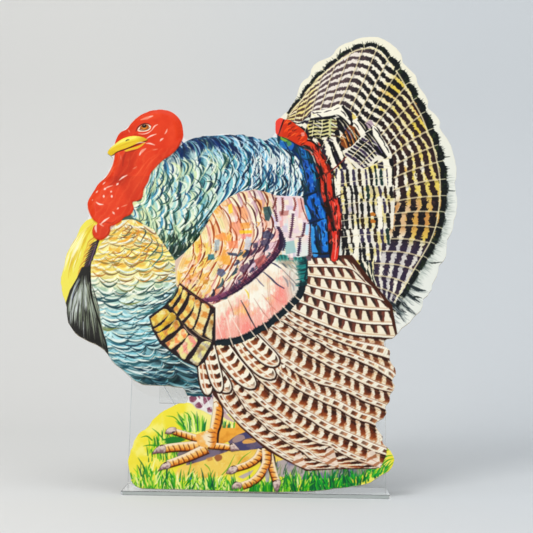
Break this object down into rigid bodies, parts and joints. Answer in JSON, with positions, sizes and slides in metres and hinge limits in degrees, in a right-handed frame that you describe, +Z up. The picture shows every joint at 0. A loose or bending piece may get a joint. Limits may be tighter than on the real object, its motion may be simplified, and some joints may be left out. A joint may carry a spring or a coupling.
{
  "type": "turkey display card on easel",
  "caption": "Embossed, die-cut cardboard turkey with a printed face, leaning on a clear acrylic easel with a flat ledge and a cemented rear leg.",
  "frame": {"origin": "centre of the ledge's flat underside, on the table plane", "axes": "+Z up; +X to the viewer's right along the easel's width; -Y towards the viewer, so the card's printed face looks to -Y and leans back to +Y"},
  "size_m": [0.3402, 0.1589, 0.3998],
  "materials": {
    "printed_paper": "glossy litho print under varnish, many colours",
    "pulp_board": "raw off-white pulp board",
    "clear_acrylic": "clear polished acrylic sheet"
  },
  "bodies": {
    "easel": {"easel_ledge_and_back": "clear_acrylic", "easel_rear_leg": "clear_acrylic"},
    "turkey_card": {"printed_face": "printed_paper", "core_board": "pulp_board"}
  },
  "joints": [
    {"name": "card_lift", "type": "slide", "parent": "easel", "child": "turkey_card", "axis": [0, -0.9346, 0.3558], "range_m": [0, 0.06]}
  ]
}
